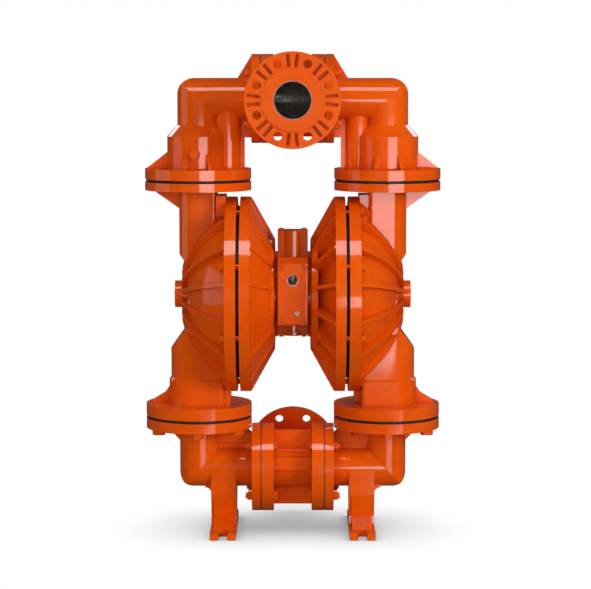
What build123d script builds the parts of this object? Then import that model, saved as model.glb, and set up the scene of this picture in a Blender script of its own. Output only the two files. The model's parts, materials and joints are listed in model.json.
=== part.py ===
from build123d import *
import math
import os

# Air operated double diaphragm pump with flanged DN 80 ports.
# The fluid runs from the inlet tee at the bottom rear, through two ball valved
# columns, to the discharge tee at the top front. Millimetres, +Z up, +X to the
# right, the front at -Y. The pieces are drawn about the diaphragm shaft, whose
# axis is X, and are raised by the shaft height when they are written.
# The same castings serve both sides, turned half a turn about Z: what lies behind
# on the right lies in front on the left. A casting's function takes that side as
# back, which is 1 for the right and -1 for the left, before the left is mirrored.

# ---------------------------------------------------------------- layout
inlet_height = 136.0            # inlet axis above the floor
inlet_drop = 378.0              # shaft axis above the inlet axis
discharge_rise = 420.0          # discharge axis above the shaft axis
column_offset = 203.0           # valve columns from the middle plane
port_reach = 210.0              # port faces from the middle plane
upper_joint_rise = 243.0        # top face of the liquid chamber above the shaft
lower_joint_drop = 261.0        # bottom face of the liquid chamber below it

# ---------------------------------------------------------------- ports
port_bore = 76.0
port_flange_diameter = 200.0
port_flange_thickness = 22.0
port_bolt_circle = 160.0
port_bolt_hole = 18.0
port_bolt_count = 8
port_pipe_diameter = 96.0
raised_face_diameter = 130.0
raised_face_height = 2.0
pocket_depth = 10.0
pocket_width = 7.0
pocket_inner_radius = 68.0
pocket_outer_radius = 94.0
pocket_angle = 6.1              # each pocket from the middle between two bolts

# ---------------------------------------------------------------- manifold
pipe_bore = 70.0
discharge_pipe_diameter = 88.0
inlet_pipe_diameter = 84.0
pipe_corner_radius = 37.0
tee_half_length = 67.0
tee_flange_diameter = 190.0
tee_flange_thickness = 26.0
elbow_end_flange_thickness = 19.0
tee_web_reach = 81.0
tee_pad_height = 29.0
tee_pad_reach = 50.0
web_thickness = 12.0
gasket_thickness = 2.0
tee_bolt_circle = 152.0
tee_bolt_diameter = 12.0
tee_bolt_count = 4

# ---------------------------------------------------------------- column joints
column_flange_diameter = 228.0
column_bolt_circle = 196.0
column_bolt_diameter = 16.0
column_screw_diameter = 14.0
column_bolt_count = 6
elbow_flange_thickness = 22.0
upper_flange_thickness = 18.0
lower_flange_thickness = 25.0
joint_gap = 6.0                 # between the two column flanges
gusset_reach = 99.0             # from the column axis along the flange
gusset_height = 36.0
gusset_root = 6.0               # gussets start inside the column's face
chamber_gusset_height = 44.0    # under the upper column's flange
gusset_foot = 13.0              # discharge gusset past the chamber's gusset
end_gusset_reach = 30.0         # on top of the pipe behind its end flange
inlet_gusset_reach = 66.0
inlet_block_height = 34.0       # stiffening block under the inlet elbow's flange
inlet_block_slope = 18.0
web_inner_edge = 103.0          # free edge of the discharge elbow's web
web_step_height = 83.0          # from the discharge axis down to the web's step
saddle_offset = 140.0           # rounded body beside the web, from the middle plane
saddle_radius = 30.0
saddle_shift = 5.0
low_rib_angle = 20.0            # from the front and the rear
low_rib_height = 37.0
low_rib_reach = 18.0

# ---------------------------------------------------------------- valves
ball_diameter = 84.0
ball_lift = 19.0
ball_guide_clearance = 1.0
ball_rest_clearance = 0.1
ball_stop_clearance = 0.3
seat_contact_diameter = 72.0
seat_cone_height = 4.0
seat_diameter = 150.0
seat_recess_depth = 12.0
seat_clearance = 0.25
seat_ring_diameter = 128.0      # mean diameter of the seat's O-ring
seat_ring_width = 4.0
valve_chamber_diameter = 132.0
valve_chamber_wall = 10.0
valve_chamber_height = 91.0     # from the flange face to the start of the cone
valve_cone_height = 23.0
lower_cage_height = 107.0       # from the chamber's bottom face to its cone
lower_cage_cone = 34.0
cage_stop_height = 14.0         # rib left over the ball's stop
cage_rib_thickness = 8.0
cage_rib_count = 4
cage_stop_radius = 20.0

# ---------------------------------------------------------------- liquid chamber
ring_radius = 210.0
ring_gap = 7.0                  # between the two clamp rings
clamp_plane = 115.5             # middle of the diaphragm's edge
liquid_ring_thickness = 24.0
air_ring_thickness = 22.0
ring_width = 45.0
dome_reach = 237.0              # flat top of the dome from the middle plane
dome_flat_radius = 62.0
dome_wall = 10.0
dome_rib_height = 12.0
dome_rib_thickness = 8.0
dome_rib_count = 16
dome_bulge = 15.0
dome_rim_inset = 6.0            # the ribs' feet inside the ring's edge
boss_foot = 12.0                # boss wider at its foot
column_shoulder = 65.0          # where the columns meet the dome's edge
upper_shoulder_rise = 23.0
lower_shoulder_drop = 51.0
shoulder_depth = 30.0
passage_floor = 20.0            # end of the passage above the shoulder
boss_radius = 29.0
boss_height = 16.6
upper_column_width = 82.0
lower_column_width = 119.0
lower_column_inner = 147.0      # inner face of the lower column
column_inner_corner = 8.0
upper_outer_corner = 36.0
lower_outer_corner = 54.0
base_drop = 178.0               # top of the lower column's base under the shaft
base_step = 4.0
base_chamfer = 6.0
upper_passage_diameter = 66.0
lower_cage_diameter = 98.0
lug_height = 43.0
lug_back = 60.0
lug_front = 30.0
lug_gap = 10.0
lower_lug_inner = 133.0
lower_lug_depth = 52.0

# ---------------------------------------------------------------- air chamber
block_half_width = 32.0
hub_radius = 92.0
band_radius = 124.5
band_inner_reach = 38.0
band_outer_reach = 54.0
air_floor_reach = 62.0
air_rib_thickness = 8.0
air_rib_proud = 4.0             # over the closed side of the cone
ring_bolt_inset = 15.0          # bolt circle from the rings' edge
ring_bolt_diameter = 12.0
ring_bolt_count = 8
thread_floor = 4.0              # metal left under a blind thread
center_screw_circle = 140.0
center_screw_diameter = 10.0
center_screw_front_angle = 15.0  # from the vertical
center_screw_rear_angle = 45.0

# ---------------------------------------------------------------- shaft and diaphragms
shaft_diameter = 28.0
shaft_running_clearance = 0.05
shaft_half_length = 140.0
stroke = 32.0                   # each way from the middle
bushing_diameter = 38.0
bushing_length = 22.0
seal_length = 6.0
diaphragm_thickness = 5.0
diaphragm_edge_inset = 8.0      # inside the ring bolts
diaphragm_fold = 11.0
piston_radius = 78.0
inner_piston_thickness = 12.0
outer_piston_thickness = 16.0
piston_crown = 18.0
piston_hub_radius = 20.0

# ---------------------------------------------------------------- centre section
block_front = 40.0
block_back = 95.0
block_half_height = 80.0
block_chamfer = 14.0
air_valve_front = 92.0
air_valve_shoulder = 10.0       # body behind its front face, over and under the cover
air_valve_top = 136.0
air_valve_bottom = 73.0
ridge_radius = 24.0
valve_cap_thickness = 8.0
cap_screw_inset = 8.0           # from the sides of the valve body
cap_screw_diameter = 5.8
cap_screw_length = 20.0
cover_front = 125.0
cover_top = 88.0
cover_bottom = 55.0
cover_chamfer = 12.0
exhaust_cover_thickness = 22.0
exhaust_cover_half_height = 52.0
exhaust_height = -44.0          # exhaust port from the shaft axis
exhaust_port_height = 0.0       # the outlet in its cover, level with the shaft
exhaust_thread_diameter = 30.0
air_inlet_height = 41.0         # air inlet from the shaft axis
air_inlet_thread_diameter = 21.0
air_inlet_depth = 22.0
air_duct_diameter = 16.0
spool_offset = 66.0             # main spool in front of the shaft axis
spool_diameter = 24.0
spool_groove_diameter = 16.0
spool_travel = 16.0
spool_clearance = 0.05
sleeve_diameter = 34.0
pilot_height = 42.0
pilot_diameter = 12.0
pilot_groove_diameter = 8.0
pilot_travel = 6.0
pilot_contact_gap = 0.3
pilot_sleeve_diameter = 20.0
air_port_diameter = 12.0
air_port_offset = 30.0          # air ports in front of the shaft axis
air_port_drop = 22.0
cover_screw_diameter = 8.0
gauge_height = 303.0            # gauge tap above the shaft axis, left elbow
gauge_offset = 5.0              # gauge tap outside the column's axis
gauge_boss_radius = 12.0
gauge_boss_reach = 75.0
gauge_tap_diameter = 13.0
gauge_tap_depth = 34.0
gauge_plug_flats = 17.0
gauge_plug_height = 7.0

# ---------------------------------------------------------------- feet
foot_offset = 149.0
foot_width = 55.0
foot_reach = 130.0              # pad ends in front of and behind the axis
foot_pad_thickness = 15.0
foot_slot_width = 19.0
foot_slot_length = 32.0
leg_half_depth = 43.0
leg_shoulder_height = 80.0
leg_waist_height = 32.0
leg_waist_half_depth = 27.0
leg_toe_half_depth = 92.0
leg_side_recess = 5.5
leg_fillet = 14.0               # where the leg meets the elbow's underside

# ---------------------------------------------------------------- fasteners
hole_clearance = 1.5            # on the diameter
nut_bore_clearance = 0.2        # on the diameter
seating_gap = 0.05              # under heads, nuts and soft rings
head_flats_ratio = 1.5
head_height_ratio = 0.65
nut_height_ratio = 0.8
thread_end = 4.0                # bolt end past its nut

# ---------------------------------------------------------------- worked out
shaft_height = inlet_height + inlet_drop
upper_seat_top = upper_joint_rise + joint_gap
lower_seat_top = -lower_joint_drop
lower_elbow_face = -lower_joint_drop - joint_gap
rim_opening_radius = ring_radius - ring_width
ring_bolt_circle = 2 * (ring_radius - ring_bolt_inset)
diaphragm_edge_radius = (ring_bolt_circle - ring_bolt_diameter) / 2 - diaphragm_edge_inset
air_ring_face = clamp_plane - ring_gap / 2
air_ring_back = air_ring_face - air_ring_thickness
liquid_ring_face = clamp_plane + ring_gap / 2
liquid_ring_back = liquid_ring_face + liquid_ring_thickness
elbow_start = tee_half_length + gasket_thickness
elbow_flange_back = elbow_start + elbow_end_flange_thickness
ball_radius = ball_diameter / 2
contact_angle = math.asin(seat_contact_diameter / ball_diameter)
ball_center_height = (
    ball_radius * math.cos(contact_angle) - seat_cone_height / 2 + ball_rest_clearance
)
stop_height = (
    ball_center_height + ball_lift + ball_stop_clearance
    + math.sqrt(ball_radius**2 - cage_stop_radius**2)
)
diaphragm_inner_face = clamp_plane - diaphragm_thickness / 2
diaphragm_outer_face = clamp_plane + diaphragm_thickness / 2
pilot_half_length = (
    diaphragm_inner_face - inner_piston_thickness - stroke + pilot_travel
    - pilot_contact_gap
)
overlap = 1.0                   # cutters and joined pieces run past by this


# ---------------------------------------------------------------- helpers
def rod_x(diameter, start, end, y=0.0, z=0.0):
    return Pos((start + end) / 2, y, z) * Rot(0, 90, 0) * Cylinder(diameter / 2, abs(end - start))


def rod_y(diameter, start, end, x=0.0, z=0.0):
    return Pos(x, (start + end) / 2, z) * Rot(90, 0, 0) * Cylinder(diameter / 2, abs(end - start))


def rod_z(diameter, start, end, x=0.0, y=0.0):
    return Pos(x, y, (start + end) / 2) * Cylinder(diameter / 2, abs(end - start))


def block(x_range, y_range, z_range):
    size = [abs(r[1] - r[0]) for r in (x_range, y_range, z_range)]
    middle = [(r[0] + r[1]) / 2 for r in (x_range, y_range, z_range)]
    return Pos(*middle) * Box(*size)


def plate_xz(points, thickness, y=0.0):
    outline = Plane.XZ.offset(-y) * Polygon(*points, align=None)
    return extrude(outline, amount=thickness / 2, both=True)


def plate_yz(points, thickness, x=0.0):
    outline = Plane.YZ.offset(x) * Polygon(*points, align=None)
    return extrude(outline, amount=thickness / 2, both=True)


def turned_x(points):
    return revolve(Plane.XZ * Polygon(*points, align=None), Axis.X)


def turned_z(points):
    return revolve(Plane.XZ * Polygon(*points, align=None), Axis.Z)


def around_x(count, offset=0.0):
    return [Rot(offset + 360 * i / count, 0, 0) for i in range(count)]


def around_y(count, offset=0.0):
    return [Rot(0, offset + 360 * i / count, 0) for i in range(count)]


def around_z(count, offset=0.0):
    return [Rot(0, 0, offset + 360 * i / count) for i in range(count)]


def mirrored(part):
    return mirror(part, about=Plane.YZ)


def group(solids):
    return Compound(children=[s for part in solids for s in part.solids()])


# ---------------------------------------------------------------- fasteners
def hex_bolt(diameter, length):
    """Head below the origin, shank up +Z."""
    flats = diameter * head_flats_ratio
    head = extrude(RegularPolygon(flats / 2, 6, major_radius=False), -diameter * head_height_ratio)
    return Pos(0, 0, -seating_gap) * head + rod_z(diameter, -overlap, length)


def hex_nut(diameter, grip):
    flats = diameter * head_flats_ratio
    outline = RegularPolygon(flats / 2, 6, major_radius=False)
    outline -= Circle((diameter + nut_bore_clearance) / 2)
    return Pos(0, 0, grip + seating_gap) * extrude(outline, diameter * nut_height_ratio)


def socket_screw(diameter, length):
    """Flush head below the origin in its counterbore, shank up +Z."""
    head = rod_z(diameter * 1.5, -diameter, -seating_gap)
    socket = extrude(RegularPolygon(diameter * 0.4, 6, major_radius=False), diameter * 0.5)
    return head - Pos(0, 0, -diameter) * socket + rod_z(diameter, -seating_gap - overlap, length)


def screw_hole(diameter, length):
    """Space for a socket screw, its head one diameter deep."""
    counterbore = rod_z(diameter * 1.5 + hole_clearance, -diameter - overlap, 0)
    return counterbore + rod_z(diameter + nut_bore_clearance, 0, length + hole_clearance)


def column_bolt_places(z):
    radius = column_bolt_circle / 2
    first = Pos(column_offset, 0, z)
    return [first * turn * Pos(0, -radius, 0) for turn in around_z(column_bolt_count)]


def column_screw_places():
    """Flush in the discharge elbow's flange, pointing down."""
    top = upper_seat_top + elbow_flange_thickness - column_screw_diameter
    return [place * Rot(180, 0, 0) for place in column_bolt_places(top)]


def tee_bolt_places(x):
    radius = tee_bolt_circle / 2
    return [
        turn * Pos(x, 0, radius) * Rot(0, 90, 0)
        for turn in around_x(tee_bolt_count, 180 / tee_bolt_count)
    ]


def ring_bolt_places(x):
    """On the back of the liquid chamber's ring, pointing to the air chamber."""
    radius = ring_bolt_circle / 2
    return [
        turn * Pos(x, 0, radius) * Rot(0, -90, 0)
        for turn in around_x(ring_bolt_count, 180 / ring_bolt_count)
    ]


def drilled(part, places, diameter, depth):
    hole = rod_z(diameter, -overlap, depth + overlap)
    return part - [place * hole for place in places]


# ---------------------------------------------------------------- tee
def tee():
    """Tee about its own axis: run along X, port towards -Y."""
    body = rod_x(discharge_pipe_diameter, -tee_half_length, tee_half_length)
    inner = tee_half_length - tee_flange_thickness
    for side in (-1, 1):
        body += rod_x(tee_flange_diameter, side * inner, side * tee_half_length)
    flange_front = port_reach - raised_face_height
    body += rod_y(port_pipe_diameter, -flange_front, 0)
    body += rod_y(port_flange_diameter, -flange_front, -(port_reach - port_flange_thickness))
    body += rod_y(raised_face_diameter, -port_reach, -flange_front)
    reach = (-inner - overlap, inner + overlap)
    half_web = web_thickness / 2
    body += block(reach, (-half_web, half_web), (-tee_web_reach, tee_web_reach))
    body += block(reach, (0, tee_pad_reach), (-tee_pad_height, 0))
    body -= rod_x(pipe_bore, -tee_half_length - overlap, tee_half_length + overlap)
    body -= rod_y(port_bore, -port_reach - overlap, 0)
    bolt_hole = rod_y(port_bolt_hole, -port_reach, -port_reach / 2)
    first_bolt = 180 / port_bolt_count
    bolts = around_y(port_bolt_count, first_bolt)
    body -= [turn * Pos(0, 0, port_bolt_circle / 2) * bolt_hole for turn in bolts]
    pocket = block(
        (-pocket_width / 2, pocket_width / 2),
        (-port_reach, -flange_front + pocket_depth),
        (pocket_inner_radius, pocket_outer_radius),
    )
    for side in (-1, 1):
        turns = around_y(port_bolt_count, side * pocket_angle)
        body -= [turn * pocket for turn in turns]
    for side in (-1, 1):
        turn = Rot(0, 0, 0) if side > 0 else Rot(0, 0, 180)
        places = [turn * place for place in tee_bolt_places(inner)]
        body = drilled(body, places, tee_bolt_diameter + hole_clearance, tee_flange_thickness)
    return body


# ---------------------------------------------------------------- elbows
def mitred_elbow(diameter, start, height, end):
    """Pipe from x = start along the height, turning in the column to z = end."""
    radius = diameter / 2
    turn = 1 if end > height else -1
    outer_x = column_offset + radius
    outer_z = height - turn * radius
    far = 2 * (abs(end - height) + outer_x)
    mitre = [
        (outer_x, outer_z),
        (outer_x - far, outer_z + turn * far),
        (outer_x - far, outer_z - turn * far),
        (outer_x, outer_z - turn * far),
    ]
    lower_side = plate_xz(mitre, 3 * diameter)
    across = rod_x(diameter, start, outer_x, z=height) & lower_side
    upright = rod_z(diameter, outer_z, end, x=column_offset) - lower_side
    corner_block = block((outer_x - pipe_corner_radius, outer_x), (-diameter, diameter),
                         (outer_z, outer_z + turn * pipe_corner_radius))
    corner_round = rod_y(2 * pipe_corner_radius, -diameter, diameter,
                         x=outer_x - pipe_corner_radius, z=outer_z + turn * pipe_corner_radius)
    return across + upright - (corner_block - corner_round)


def elbow_bore(height, end):
    inside = rod_x(pipe_bore, elbow_start - overlap, column_offset, z=height)
    inside += rod_z(pipe_bore, height, end, x=column_offset)
    return inside + Pos(column_offset, 0, height) * Sphere(pipe_bore / 2)


def cage(seat_top, wall_radius, top):
    """Ribs that guide the ball and stop its lift."""
    stop = seat_top + stop_height
    guide = ball_radius + ball_guide_clearance
    profile = [
        (guide, seat_top + overlap + 2),
        (wall_radius, seat_top + overlap + 2),
        (wall_radius, top),
        (cage_stop_radius, top),
        (cage_stop_radius, stop),
        (guide, stop),
    ]
    rib = plate_xz(profile, cage_rib_thickness)
    turns = around_z(cage_rib_count, 180 / cage_rib_count)
    return [Pos(column_offset, 0, 0) * turn * rib for turn in turns]


def discharge_elbow(back):
    flange_top = upper_seat_top + elbow_flange_thickness
    cone_start = upper_seat_top + valve_chamber_height
    cone_end = cone_start + valve_cone_height
    body = mitred_elbow(discharge_pipe_diameter, elbow_start, discharge_rise, cone_end - overlap)
    body += rod_x(tee_flange_diameter, elbow_start, elbow_flange_back, z=discharge_rise)
    chamber_radius = valve_chamber_diameter / 2
    body += Pos(column_offset, 0, 0) * turned_z([
        (0, upper_seat_top),
        (chamber_radius, upper_seat_top),
        (chamber_radius, cone_start),
        (discharge_pipe_diameter / 2, cone_end),
        (0, cone_end),
    ])
    body += rod_z(column_flange_diameter, upper_seat_top, flange_top, x=column_offset)
    # web between the pipe, the valve chamber and the flange, and the saddle beside it
    inner_x = elbow_flange_back - overlap
    step_z = discharge_rise - web_step_height
    body += plate_xz([
        (web_inner_edge, flange_top - overlap),
        (column_offset, flange_top - overlap),
        (column_offset, discharge_rise),
        (inner_x, discharge_rise),
        (inner_x, step_z),
        (web_inner_edge, step_z),
    ], web_thickness)
    body += rod_z(2 * saddle_radius, flange_top - overlap, discharge_rise,
                  x=saddle_offset, y=back * saddle_shift)
    # gusset on the outer side of the flange
    body += plate_xz([
        (column_offset + chamber_radius - overlap, flange_top - overlap),
        (column_offset + gusset_reach + gusset_foot, flange_top - overlap),
        (column_offset + chamber_radius - overlap, flange_top + gusset_height),
    ], web_thickness)
    # gusset on top of the pipe behind its end flange
    top = discharge_rise + tee_flange_diameter / 2
    pipe_top = discharge_rise + discharge_pipe_diameter / 2
    body += plate_xz([
        (elbow_flange_back - overlap, top - 1),
        (elbow_flange_back - overlap, pipe_top - 4),
        (elbow_flange_back + end_gusset_reach, pipe_top - 4),
        (elbow_flange_back + end_gusset_reach, pipe_top),
    ], web_thickness)
    # low ribs from the chamber to the flange, front and rear
    rib_root = chamber_radius - gusset_root / 2
    rib_foot = chamber_radius + low_rib_reach
    rib = plate_xz([
        (rib_root, flange_top - overlap),
        (rib_foot, flange_top - overlap),
        (rib_foot, flange_top + 4),
        (rib_root, flange_top + low_rib_height),
    ], cage_rib_thickness)
    for middle in (-90, 90):
        for side in (-1, 1):
            turn = Rot(0, 0, middle + side * low_rib_angle)
            body += Pos(column_offset, 0, 0) * turn * rib
    cavity_radius = chamber_radius - valve_chamber_wall
    bore_top = cone_end - valve_chamber_wall / 2
    body -= elbow_bore(discharge_rise, bore_top)
    body -= Pos(column_offset, 0, 0) * turned_z([
        (0, upper_seat_top - overlap),
        (cavity_radius, upper_seat_top - overlap),
        (cavity_radius, cone_start - valve_chamber_wall / 2),
        (pipe_bore / 2, bore_top),
        (0, bore_top),
    ])
    body += cage(upper_seat_top, cavity_radius + 2, cone_start - valve_chamber_wall / 2)
    hole = screw_hole(column_screw_diameter, elbow_flange_thickness)
    body -= [place * hole for place in column_screw_places()]
    places = [Pos(0, 0, discharge_rise) * place for place in tee_bolt_places(elbow_start)]
    return drilled(body, places, tee_bolt_diameter + hole_clearance, elbow_end_flange_thickness)


def gauge_tapped(elbow):
    """Adds the threaded gauge boss to the front of the left valve chamber."""
    x = -column_offset - gauge_offset
    boss_back = -(valve_chamber_diameter / 2 - valve_chamber_wall / 2)
    elbow += rod_y(2 * gauge_boss_radius, -gauge_boss_reach, boss_back, x=x, z=gauge_height)
    return elbow - rod_y(gauge_tap_diameter, -gauge_boss_reach - overlap,
                         -gauge_boss_reach + gauge_tap_depth, x=x, z=gauge_height)


def inlet_elbow():
    flange_bottom = lower_elbow_face - elbow_flange_thickness
    body = mitred_elbow(inlet_pipe_diameter, elbow_start, -inlet_drop, flange_bottom + overlap)
    body += rod_x(tee_flange_diameter, elbow_start, elbow_flange_back, z=-inlet_drop)
    body += rod_z(column_flange_diameter, flange_bottom, lower_elbow_face, x=column_offset)
    inner_x = elbow_flange_back
    pipe_radius = inlet_pipe_diameter / 2
    # stiffening block between the pipe, the upright and the flange
    body += plate_xz([
        (inner_x - overlap, flange_bottom - inlet_block_height),
        (column_offset - pipe_radius + 4, flange_bottom - inlet_block_height),
        (column_offset - pipe_radius + 4, flange_bottom + overlap),
        (inner_x + inlet_block_slope, flange_bottom + overlap),
        (inner_x - overlap, flange_bottom + 2 - inlet_block_slope),
    ], 2 * web_thickness)
    body += plate_xz([
        (inner_x - overlap, -inlet_drop),
        (column_offset, -inlet_drop),
        (column_offset, flange_bottom - 30),
        (inner_x - overlap, flange_bottom - 30),
    ], web_thickness)
    body += plate_xz([
        (column_offset + pipe_radius - 4, flange_bottom + overlap),
        (column_offset + inlet_gusset_reach, flange_bottom + overlap),
        (column_offset + inlet_gusset_reach, flange_bottom - 3),
        (column_offset + pipe_radius - 4, flange_bottom - inlet_block_height),
    ], web_thickness)
    body += foot()
    body -= elbow_bore(-inlet_drop, flange_bottom + overlap)
    body -= rod_z(upper_passage_diameter, flange_bottom, lower_elbow_face, x=column_offset)
    recess = seat_diameter + 2 * seat_clearance
    body -= rod_z(recess, lower_elbow_face - seat_recess_depth, lower_elbow_face + overlap,
                  x=column_offset)
    body = drilled(body, column_bolt_places(flange_bottom),
                   column_bolt_diameter + hole_clearance, elbow_flange_thickness)
    places = [Pos(0, 0, -inlet_drop) * place for place in tee_bolt_places(elbow_start)]
    return drilled(body, places, tee_bolt_diameter + hole_clearance, elbow_end_flange_thickness)


def foot():
    """Waisted leg on a long pad that is slotted at both ends."""
    floor = -shaft_height
    pad_top = floor + foot_pad_thickness
    front = [
        (-leg_half_depth, -inlet_drop),
        (-leg_half_depth, floor + leg_shoulder_height),
        (-leg_waist_half_depth, floor + leg_waist_height),
        (-leg_toe_half_depth, pad_top),
        (-leg_toe_half_depth, floor),
    ]
    outline = front + [(-y, z) for y, z in reversed(front)]
    leg = plate_yz(outline, foot_width - 2 * leg_side_recess, x=foot_offset)
    column = [
        (-leg_half_depth, -inlet_drop),
        (-leg_half_depth, floor + leg_shoulder_height),
        (-leg_waist_half_depth + 5, floor + leg_waist_height),
        (-leg_waist_half_depth, floor),
    ]
    leg += plate_yz(column + [(-y, z) for y, z in reversed(column)], foot_width, x=foot_offset)
    half = foot_width / 2
    corner_z = -inlet_drop - inlet_pipe_diameter / 2
    corner_x = foot_offset + half + leg_fillet
    depth = (-leg_half_depth / 2, leg_half_depth / 2)
    corner = block((foot_offset + half - overlap, corner_x), depth,
                   (corner_z - leg_fillet, corner_z + leg_fillet))
    leg += corner - rod_y(2 * leg_fillet, -leg_half_depth, leg_half_depth,
                          x=corner_x, z=corner_z - leg_fillet)
    across = (foot_offset - half, foot_offset + half)
    leg += block(across, (-foot_reach, foot_reach), (floor, pad_top))
    for side in (-1, 1):
        slot_end = side * (foot_reach - foot_slot_length)
        slot = block(
            (foot_offset - foot_slot_width / 2, foot_offset + foot_slot_width / 2),
            (side * (foot_reach + overlap), slot_end),
            (floor - overlap, pad_top + foot_pad_thickness),
        )
        leg -= slot
        leg -= rod_z(foot_slot_width, floor - overlap, pad_top + foot_pad_thickness,
                     x=foot_offset, y=slot_end)
    return leg


# ---------------------------------------------------------------- liquid chamber
def dome(base_x, base_radius, top_x, top_radius, inset):
    """Half outline of a dome: from its axis, over the flat top, down a bulged side."""
    run_x = top_x - base_x
    run_r = base_radius - top_radius
    length = math.hypot(run_x, run_r)
    middle_x = (top_x + base_x) / 2 + dome_bulge * run_r / length
    middle_r = (top_radius + base_radius) / 2 + dome_bulge * run_x / length
    side = ThreePointArc((top_x, top_radius), (middle_x, middle_r), (base_x, base_radius))
    rest = Polyline((base_x, base_radius), (inset, base_radius), (inset, 0), (top_x, 0),
                    (top_x, top_radius))
    return Plane.XZ * make_face(side + rest)


def column(inner, outer, depth, corners, outline):
    """Upright of the chamber: a rectangle with rounded corners, trimmed to an outline."""
    section = Pos((inner + outer) / 2, 0) * Rectangle(outer - inner, depth)
    section = fillet(section.vertices().group_by(Axis.X)[0], corners[0])
    section = fillet(section.vertices().group_by(Axis.X)[-1], corners[1])
    heights = [z for x, z in outline]
    bar = Pos(0, 0, min(heights)) * extrude(section, max(heights) - min(heights))
    return bar & plate_xz(outline, 2 * depth)


def liquid_chamber(back):
    rib_top = dome_reach
    wall_top = rib_top - dome_rib_height
    cavity_top = wall_top - dome_wall
    rim = ring_radius - dome_rim_inset
    ring_back = liquid_ring_back
    face = liquid_ring_face
    body = revolve(dome(ring_back - overlap, rim - 2 * dome_rib_height, wall_top,
                        dome_flat_radius, face), Axis.X)
    body += rod_x(2 * ring_radius, face, ring_back)
    rib = extrude(dome(ring_back - overlap, rim, rib_top, dome_flat_radius, face + overlap),
                  amount=dome_rib_thickness / 2, both=True)
    first_rib = 180 / dome_rib_count
    body += [turn * rib for turn in around_x(dome_rib_count, first_rib)]
    body += turned_x([
        (face + overlap, 0),
        (face + overlap, boss_radius + boss_foot),
        (wall_top, boss_radius + boss_foot),
        (rib_top + 2, boss_radius),
        (rib_top + boss_height, boss_radius),
        (rib_top + boss_height, 0),
    ])
    # upper column, its two flanges, lugs and gussets
    flange_bottom = upper_joint_rise - upper_flange_thickness
    upper_inner = column_offset - upper_column_width / 2
    upper_outer = column_offset + upper_column_width / 2
    shoulder = column_shoulder
    inner_shoulder = shoulder - shoulder_depth
    body += column(upper_inner, upper_outer, upper_column_width,
                   (column_inner_corner, upper_outer_corner),
                   [(upper_inner, flange_bottom + overlap), (upper_outer, flange_bottom + overlap),
                    (upper_outer, shoulder + upper_shoulder_rise), (wall_top, shoulder),
                    (wall_top - shoulder_depth, inner_shoulder), (upper_inner, inner_shoulder)])
    body += rod_z(column_flange_diameter, flange_bottom, upper_joint_rise, x=column_offset)
    lower_top = -lower_joint_drop + lower_flange_thickness
    lower_inner = lower_column_inner
    lower_outer = column_offset + lower_column_width / 2
    body += column(lower_inner, lower_outer, lower_column_width,
                   (column_inner_corner, lower_outer_corner),
                   [(lower_inner, lower_top - overlap), (lower_outer, lower_top - overlap),
                    (lower_outer, -shoulder - lower_shoulder_drop), (wall_top, -shoulder),
                    (wall_top - shoulder_depth, -inner_shoulder), (lower_inner, -inner_shoulder)])
    base_depth = lower_column_width + 2 * base_step
    base = column(lower_inner, lower_outer + base_step, base_depth,
                  (column_inner_corner, lower_outer_corner),
                  [(lower_inner, lower_top - overlap), (lower_outer + base_step, lower_top - overlap),
                   (lower_outer + base_step, -base_drop), (lower_inner, -base_drop)])
    body += chamfer(base.faces().sort_by(Axis.Z)[-1].edges(), base_chamfer)
    body += rod_z(column_flange_diameter, -lower_joint_drop, lower_top, x=column_offset)
    # lugs that tie the clamp ring to both column flanges
    lug_top = flange_bottom - lug_gap
    depth = sorted((-back * lug_front, back * lug_back))
    body += block((ring_back - overlap, upper_inner + overlap), depth,
                  (lug_top - lug_height, lug_top))
    depth = sorted((0, back * lower_lug_depth))
    body += block((lower_lug_inner, lower_inner + overlap), depth,
                  (lower_top - overlap, -base_drop))
    body += plate_xz([
        (upper_outer - gusset_root, flange_bottom + overlap),
        (column_offset + gusset_reach, flange_bottom + overlap),
        (upper_outer - gusset_root, flange_bottom - chamber_gusset_height),
    ], web_thickness)
    body += plate_xz([
        (lower_outer - gusset_root, lower_top - overlap),
        (column_offset + gusset_reach + 3, lower_top - overlap),
        (column_offset + gusset_reach - 2, lower_top + 8),
        (lower_outer + 14, lower_top + 22),
        (lower_outer + 4, lower_top + gusset_height),
        (lower_outer - gusset_root, lower_top + gusset_height),
    ], web_thickness)
    # inside
    body -= revolve(dome(face, rim_opening_radius, cavity_top, dome_flat_radius - 8,
                         face - overlap), Axis.X)
    passage_bottom = shoulder + passage_floor
    body -= rod_z(upper_passage_diameter, passage_bottom, upper_joint_rise + overlap,
                  x=column_offset)
    recess = seat_diameter + 2 * seat_clearance
    body -= rod_z(recess, upper_joint_rise - seat_recess_depth, upper_joint_rise + overlap,
                  x=column_offset)
    cage_radius = lower_cage_diameter / 2
    cage_top = lower_cage_height - lower_joint_drop
    body -= Pos(column_offset, 0, 0) * turned_z([
        (0, -lower_joint_drop - overlap),
        (cage_radius, -lower_joint_drop - overlap),
        (cage_radius, cage_top),
        (cage_radius / 2, cage_top + lower_cage_cone),
        (0, cage_top + lower_cage_cone),
    ])
    body += cage(lower_seat_top, cage_radius + 2, lower_seat_top + stop_height + cage_stop_height)
    body = drilled(body, column_bolt_places(upper_joint_rise - upper_flange_thickness),
                   column_screw_diameter + nut_bore_clearance, upper_flange_thickness)
    thread = lower_flange_thickness - thread_floor - overlap
    body = drilled(body, column_bolt_places(-lower_joint_drop),
                   column_bolt_diameter + nut_bore_clearance, thread)
    return drilled(body, ring_bolt_places(ring_back), ring_bolt_diameter + hole_clearance,
                   liquid_ring_thickness)


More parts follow.
